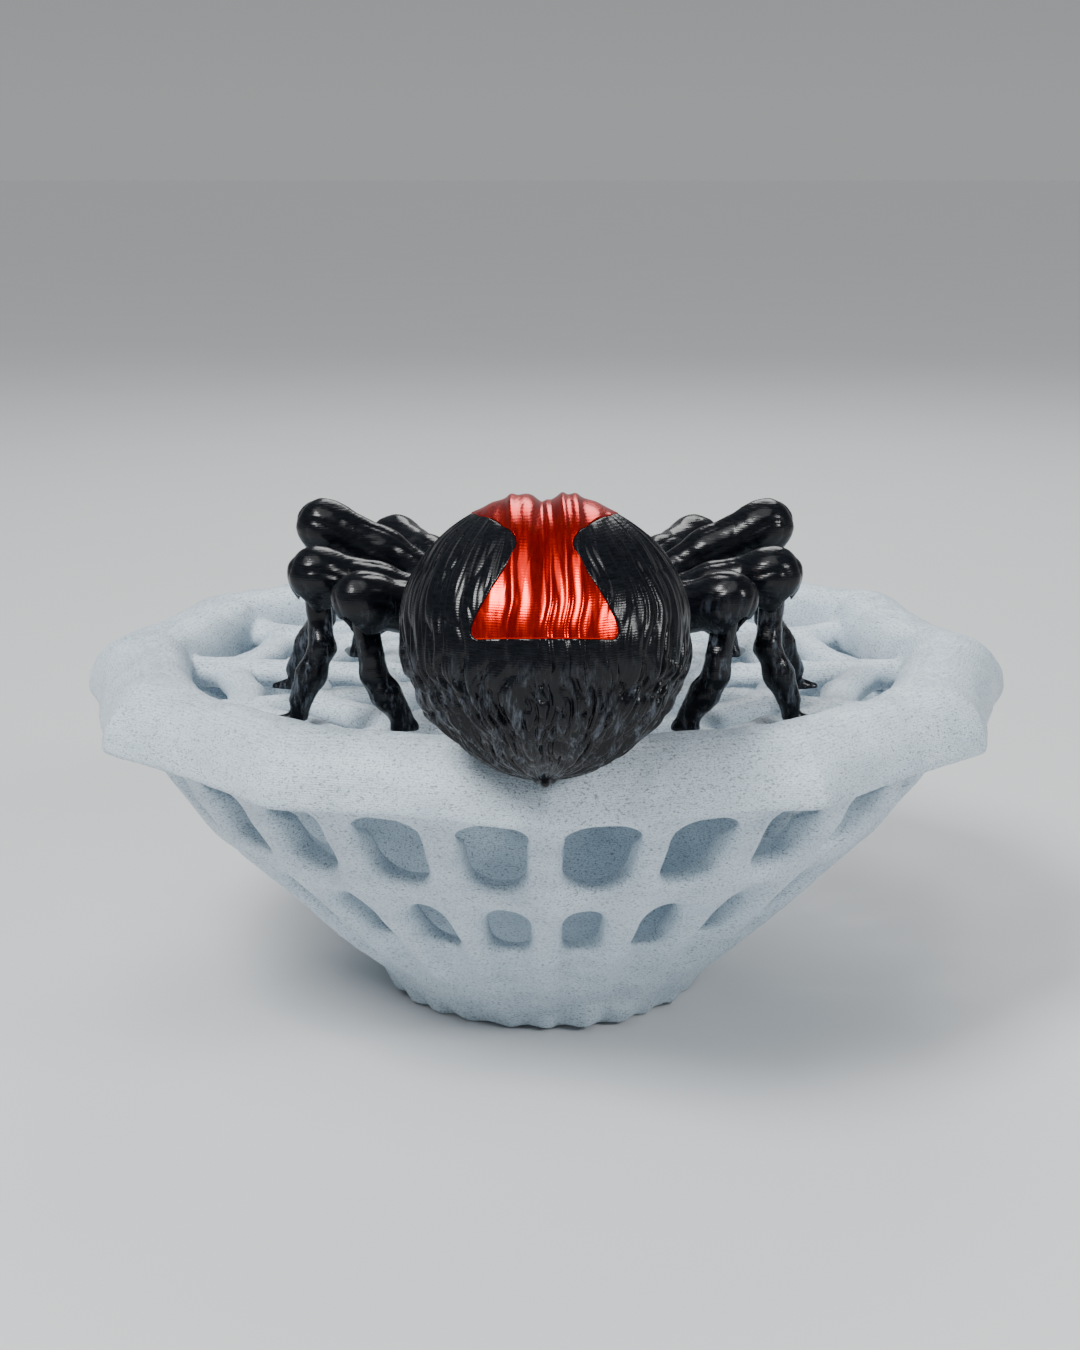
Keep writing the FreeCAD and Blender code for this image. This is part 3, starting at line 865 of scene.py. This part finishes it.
def abdomen_relief(q):
    """Height of the surface over the plain ellipsoid, in mm, at points of the unit ball."""
    pole, side, third = pole_frame()
    latitude = np.arccos(np.clip(q @ pole, -1, 1))
    longitude = np.arctan2(q @ third, q @ side) * NOISE_CELLS / (2 * math.pi)
    world = q * ABDOMEN_AXES @ abdomen_frame()
    x = q[..., 0] * ABDOMEN_AXES[0]
    height = world[..., 2]
    belt = np.sin(latitude)
    flat = q[..., 0] * 0
    wander = lattice_noise(q[..., 0] * 3, q[..., 1] * 3, q[..., 2] * 3, 1.0, SEED + 51)
    wide, flutes, fine, scales, threads = (
        lattice_noise(longitude * round_it + wander * sway, latitude * along, flat, 1.0, SEED + own_seed)
        for round_it, along, sway, own_seed in ABDOMEN_NOISE
    )
    low = smooth_step(1.0, -3.0, height)
    sides = smooth_step(0.35, 0.8, np.abs(q[..., 0]))
    relief = belt * (0.14 * wide + (0.07 + 0.12 * sides) * ridge(flutes) + 0.05 * fine + 0.03 * threads)
    rough = 0.34 * wide + 0.36 * ridge(flutes) + 0.26 * ridge(scales) + 0.06 * threads
    relief = relief + belt * low * rough
    relief = relief * (1 - 0.8 * under_inlay(world)) + TAIL_SWELL * np.exp(-(latitude / 0.5) ** 2)
    upper = smooth_step(3.0, 10.0, height)
    relief = relief - GROOVE_DEPTH * upper * np.exp(-(x / GROOVE_HALF_W) ** 2)
    lobes = np.exp(-((np.abs(x) - LOBE_X) / LOBE_HALF_W) ** 2)
    relief = relief + LOBE_H * upper * lobes - CROWN_DROP * upper
    red = smooth_step(-2.5, 0.0, height)
    bend = 0.5 * lattice_noise(height * 0.4, flat, flat, 1.0, SEED + 57)
    for centre, width, amount in RED_RIDGES:
        relief = relief + red * amount * np.exp(-((x - centre - bend) / width) ** 2)
    return relief


def abdomen_points(q, proud=0.0):
    """Points in mm on the displaced surface, or standing that far proud of it."""
    plain = q * ABDOMEN_AXES
    normal = q / np.array(ABDOMEN_AXES)
    normal = normal / np.linalg.norm(normal, axis=-1, keepdims=True)
    local = plain + normal * (abdomen_relief(q) + proud)[..., None]
    return local @ abdomen_frame() + np.array(ABDOMEN_C)


def abdomen_skin():
    """The round of the abdomen as one displaced surface, sunk a little under the inlay."""
    rows, columns = ABDOMEN_GRID
    latitude = np.linspace(POLE_GAP, math.pi - POLE_GAP, rows)[:, None]
    longitude = np.linspace(0, 2 * math.pi, columns, endpoint=False)[None, :]
    pole, side, third = pole_frame()
    ring = np.cos(longitude)[..., None] * side + np.sin(longitude)[..., None] * third
    q = np.cos(latitude)[..., None] * pole + np.sin(latitude)[..., None] * ring
    points = abdomen_points(q, -INLAY_SINK * inlay_depth(abdomen_points(q)))
    flat = points.reshape(-1, 3)
    ends = np.array((points[0].mean(0), points[-1].mean(0)))
    faces = grid_faces(rows, columns, True).tolist()
    last_row = (rows - 1) * columns
    faces += [[len(flat), (i + 1) % columns, i] for i in range(columns)]
    faces += [[len(flat) + 1, last_row + i, last_row + (i + 1) % columns] for i in range(columns)]
    return make_poly_mesh("abdomen_skin", np.vstack((flat, ends)), faces)


# ---------------------------------------------------------------- hourglass, let into the abdomen
def inlay_view():
    """Unit vectors of the inlay's outline: the way it faces and the way up in it."""
    out = np.array((0, -math.cos(INLAY_TILT), math.sin(INLAY_TILT)))
    up = np.array((0, math.sin(INLAY_TILT), math.cos(INLAY_TILT)))
    return out, up


def inlay_half_width(v):
    """Half-width of the hourglass at each height of its outline, in mm."""
    return np.interp(v, INLAY_HEIGHTS, INLAY_HALVES)


def inlay_place(local):
    """How far points lie inside the hourglass's side edges, up its outline, and the way it faces."""
    out, up = inlay_view()
    v = local @ up
    return inlay_half_width(v) - np.abs(local[..., 0]), v, local @ out


def under_inlay(local):
    """1 where the hourglass lies, fading out at its edge, for points relative to the abdomen's middle."""
    inside, v, facing = inlay_place(local)
    edge = smooth_step(-0.6, 0.6, inside) * smooth_step(INLAY_HEIGHTS[0] - 0.6, INLAY_HEIGHTS[0] + 0.6, v)
    return edge * smooth_step(-INLAY_OVER - 0.5, -INLAY_OVER + 0.8, facing)


def inlay_depth(points):
    """1 well inside the hourglass, 0 outside it."""
    inside, v, facing = inlay_place(points - np.array(ABDOMEN_C))
    mask = smooth_step(0.0, 0.25, inside) * smooth_step(INLAY_HEIGHTS[0] + 0.1, INLAY_HEIGHTS[0] + 0.3, v)
    return mask * smooth_step(-INLAY_OVER, -INLAY_OVER + 0.3, facing)


def surface_hit(start, direction):
    """Where a ray from inside the plain ellipsoid leaves it, as a point of the unit ball."""
    axes = np.array(ABDOMEN_AXES)
    frame_rows = abdomen_frame()
    a = (direction @ frame_rows.T) / axes
    b = (start @ frame_rows.T) / axes
    qa = (a * a).sum(-1)
    qb = (a * b).sum(-1)
    qc = (b * b).sum(-1) - 1
    t = (-qb + np.sqrt(np.maximum(qb * qb - qa * qc, 0))) / qa
    q = b + a * t[..., None]
    return q / np.linalg.norm(q, axis=-1, keepdims=True)


def inlay_grid():
    """Points of the unit ball under the hourglass, up its face and over the top, and the places across."""
    out, up = inlay_view()
    face = np.linspace(INLAY_HEIGHTS[0], INLAY_BEND, INLAY_ROWS[0])
    along = np.linspace(-1, 1, INLAY_COLUMNS)
    side = np.array((1.0, 0, 0))
    x = inlay_half_width(face)[:, None] * along
    start = x[..., None] * side + face[:, None, None] * up
    front = surface_hit(start, out)
    world = front * ABDOMEN_AXES @ abdomen_frame()
    edge_depth = world[-1] @ out
    back = np.linspace(0, edge_depth[len(along) // 2] + INLAY_OVER, INLAY_ROWS[1])[1:]
    top_half = np.interp(back, [back[-1] * share for share in INLAY_OVER_SHARES], INLAY_OVER_HALVES)
    x = top_half[:, None] * along
    depth = edge_depth[None, :] - back[:, None]
    over = surface_hit(x[..., None] * side + depth[..., None] * out, up)
    return np.vstack((front, over)), along


def inlay_skin():
    """The hourglass as its own closed piece, a hair proud, with a rolled edge let into the black."""
    q, along = inlay_grid()
    rows, columns = q.shape[:2]
    edge_roll = 1 - np.clip((1 - np.abs(along)) / 0.03, 0, 1)
    rim_rows = np.clip(1 - np.arange(rows) / 2.0, 0, 1)[:, None]
    rolled = np.maximum(np.broadcast_to(edge_roll, (rows, columns)), rim_rows)
    top = abdomen_points(q, INLAY_PROUD - INLAY_ROLL * rolled ** 2)
    under = abdomen_points(q, np.full((rows, columns), -INLAY_DEPTH))
    vertices = np.vstack((top.reshape(-1, 3), under.reshape(-1, 3)))
    upper = grid_faces(rows, columns, False)
    count = rows * columns
    lower = upper[:, ::-1] + count
    edge = [r * columns for r in range(rows)]
    far = [r * columns + columns - 1 for r in range(rows)]
    low_row = list(range(columns))
    high_row = [(rows - 1) * columns + c for c in range(columns)]
    sides = []
    for line in (edge[::-1], far, low_row, high_row[::-1]):
        sides += [[p, n, n + count, p + count] for p, n in zip(line, line[1:])]
    faces = np.vstack((upper, lower, np.array(sides)))
    return make_poly_mesh("hourglass_skin", vertices, faces.tolist())


# ---------------------------------------------------------------- waist and tail
def waist_fork():
    """Neck of the abdomen, forked to straddle the tongue on the plate."""
    waist, _ = joint_place("waist")
    to_centre = unit(np.array(ABDOMEN_C) - waist)
    low, high = box_round((waist, waist + to_centre * 9.0), 4.6)
    field = Field(low, high, FORK_STEP)
    field.add(round_cone(waist + to_centre * 0.5, waist + to_centre * 8.5, *FORK_R), low, high, 0.5)
    x, y, z = field.axes()
    from_pin = np.sqrt((y - waist[1]) ** 2 + (z - waist[2]) ** 2)
    cheek = np.maximum(from_pin - CHEEK_R, np.abs(x) - CHEEK_HALF_W)
    slot = np.maximum(np.abs(x) - FORK_SLOT_HALF_W, waist[1] - FORK_SLOT_L - y)
    field.values[:] = np.minimum(np.maximum(field.values, np.abs(x) - FORK_HALF_W), cheek)
    field.values[:] = smooth_max(field.values, -slot, 0.25)
    field.values[:] = np.maximum(field.values, WAIST_BORE_R - from_pin)
    return field.mesh("waist_fork")


def spinneret_skin():
    """Small lobed nub at the tail."""
    field = Field(*SPINNERET_BOX, SPINNERET_STEP)
    field.add_rods((
        ((-0.5, -51.3, 39.7), (-0.6, -52.0, 38.5), 0.75, 0.5, 0.4),
        ((0.5, -51.3, 39.7), (0.6, -52.0, 38.5), 0.75, 0.5, 0.4),
        ((0, -51.7, 39.9), (0, -52.8, 38.3), 1.0, 0.4, 0.4),
    ), *SPINNERET_BOX)
    return field.mesh("spinneret_skin")


# ---------------------------------------------------------------- build
def build():
    """Materials for the CAD nodes that stay in view, and the new pieces in place of the others."""
    materials = {
        "marble_plastic": marble_plastic(),
        "silk_black": silk_black(),
        "silk_red": silk_red(),
        "pin_plastic": pin_plastic(),
    }

    def dress(piece, body, slot, node):
        """Give a new piece its material, body and slot, and hide the CAD node it stands for."""
        piece.data.materials.append(materials[slot])
        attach(piece, body)
        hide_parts(node)

    slots = {s["node"]: s["material_slot"] for s in frame["record"]["subparts"]}
    for name, node in frame["nodes"].items():
        for material_slot in node.material_slots:
            material_slot.material = materials[slots[name]]
    dress(bowl_shape(), "bowl", "marble_plastic", "lattice_bowl")
    dress(lid_shape(), "lid", "marble_plastic", "web_lid")
    dress(abdomen_skin(), "abdomen", "silk_black", "abdomen_shell")
    dress(waist_fork(), "abdomen", "silk_black", "abdomen_shell")
    dress(inlay_skin(), "abdomen", "silk_red", "hourglass_inlay")
    dress(spinneret_skin(), "abdomen", "silk_black", "spinnerets")
    for leg in LEGS:
        for kind, shape in (("thigh", thigh_shape), ("shin", shin_shape)):
            right = shape(leg, f"{kind}_{leg}_right_skin")
            left = mirror_copy(right, f"{kind}_{leg}_left_skin")
            for side, piece in (("right", right), ("left", left)):
                node = f"{kind}_{leg}_{side}"
                dress(piece, node, "silk_black", node)


def add_camera():
    """Camera a little above the rim, behind the figure."""
    data = bpy.data.cameras.new("camera")
    data.lens = LENS
    data.sensor_width = SENSOR_W
    data.shift_x, data.shift_y = SHIFT
    data.clip_start = 0.01
    camera = add_object("camera", data)
    away = Vector((0, -math.cos(CAMERA_ELEVATION), math.sin(CAMERA_ELEVATION)))
    camera.location = TARGET + away * CAMERA_DISTANCE
    camera.rotation_euler = (math.pi / 2 - CAMERA_ELEVATION, 0, 0)
    bpy.context.scene.camera = camera


def add_lights():
    """Soft boxes above both sides and behind, and a wide soft light overhead."""
    for name, place, size, power in LAMPS:
        lamp = bpy.data.lights.new(name, "AREA")
        lamp.size = size
        lamp.energy = power
        lamp_object = add_object(name, lamp)
        lamp_object.location = place
        lamp_object.rotation_euler = (Vector(place) - TARGET).to_track_quat("Z", "Y").to_euler()
    sun = bpy.data.lights.new("overhead", "SUN")
    sun.energy = SUN_STRENGTH
    sun.angle = SUN_ANGLE
    add_object("overhead", sun).rotation_euler = SUN_TURN


def soft_sky():
    """Studio surroundings: pale at the horizon, to meet the floor, and dimmer overhead."""
    world = bpy.data.worlds.new("studio")
    world.use_nodes = True
    tree = world.node_tree
    place = tree.nodes.new("ShaderNodeTexCoord")
    split = tree.nodes.new("ShaderNodeSeparateXYZ")
    ramp = tree.nodes.new("ShaderNodeValToRGB")
    horizon, top = ramp.color_ramp.elements
    horizon.position = 0.02
    horizon.color = SKY_HORIZON
    top.position = 0.35
    top.color = SKY_TOP
    tree.links.new(place.outputs["Generated"], split.inputs["Vector"])
    tree.links.new(split.outputs["Z"], ramp.inputs["Fac"])
    tree.links.new(ramp.outputs["Color"], tree.nodes["Background"].inputs["Color"])
    tree.nodes["Background"].inputs["Strength"].default_value = SKY_STRENGTH
    bpy.context.scene.world = world


def add_floor():
    """Pale floor under the bowl."""
    bowl_low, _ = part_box("lattice_bowl")
    mesh = bpy.data.meshes.new("floor")
    signs = ((-1, -1), (1, -1), (1, 1), (-1, 1))
    corners = [(x * FLOOR_REACH, y * FLOOR_REACH, bowl_low.z) for x, y in signs]
    mesh.from_pydata(corners, [], [(0, 1, 2, 3)])
    floor = add_object("floor", mesh)
    floor.data.materials.append(floor_paint())


add_camera()
add_lights()
soft_sky()
add_floor()
build()
